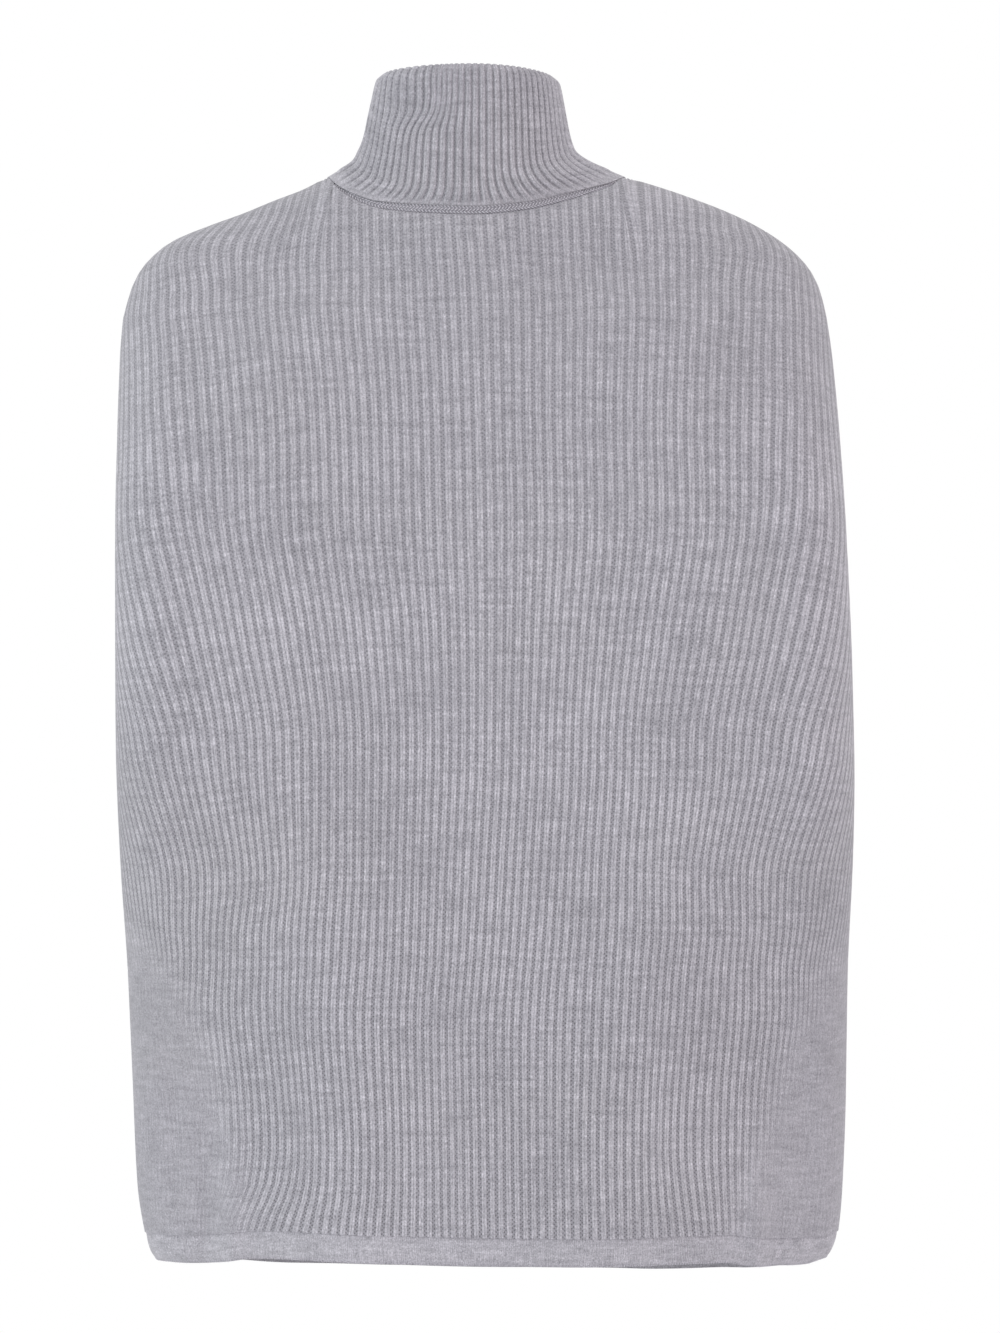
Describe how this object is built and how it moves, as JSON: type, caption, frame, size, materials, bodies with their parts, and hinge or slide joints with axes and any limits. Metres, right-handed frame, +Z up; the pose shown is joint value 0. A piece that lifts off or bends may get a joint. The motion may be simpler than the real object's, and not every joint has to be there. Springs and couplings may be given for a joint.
{
  "type": "knitted poncho sweater",
  "caption": "Hollow worn poncho sweater in ribbed knit: two panels joined over the shoulders and down the sides, a folded turtleneck collar and a plain hem band.",
  "frame": {"origin": "middle of the base of the neck, level with the shoulder line, where the garment rests on its wearer's shoulders", "axes": "+Z up, +Y the wearer's front, +X the wearer's right"},
  "size_m": [0.4935, 0.2421, 0.8271],
  "materials": {
    "ribbed_knit": "matte heathered wool rib, light grey with a touch of violet",
    "plain_knit": "matte heathered wool, plain flat knit"
  },
  "bodies": {
    "root": {"back_panel": "ribbed_knit", "front_panel": "ribbed_knit", "collar": "ribbed_knit", "hem_band_back": "plain_knit", "hem_band_front": "plain_knit"}
  },
  "joints": []
}
